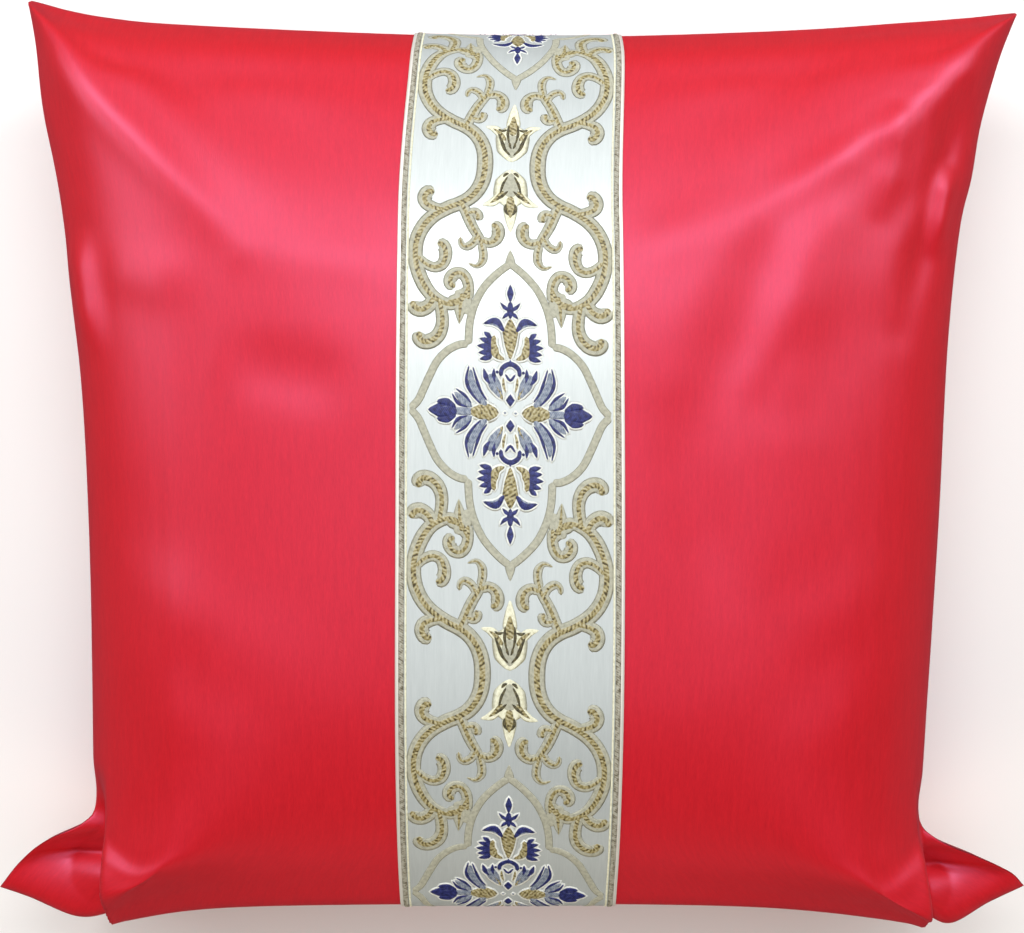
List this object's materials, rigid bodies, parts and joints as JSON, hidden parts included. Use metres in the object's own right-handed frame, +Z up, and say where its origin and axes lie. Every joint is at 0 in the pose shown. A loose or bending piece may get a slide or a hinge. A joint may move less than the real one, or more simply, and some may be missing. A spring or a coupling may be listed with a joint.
{
  "type": "filled cushion cover",
  "caption": "Square knife-edge cushion cover in satin, filled out to a soft crown, with a patterned brocade band sewn down the middle of its face and limp, folded lower corners.",
  "frame": {"origin": "on the surface that the cushion lies on, under the middle of its bounding box", "axes": "+Z up, out of the face; +X to the right across the face; +Y along the band, towards the top edge"},
  "size_m": [0.4232, 0.3743, 0.1152],
  "materials": {
    "satin": "glossy woven satin",
    "brocade": "silver satin ground with woven gold, blue and cream ornament"
  },
  "bodies": {
    "root": {"cover": "satin", "band": "brocade"}
  },
  "joints": []
}
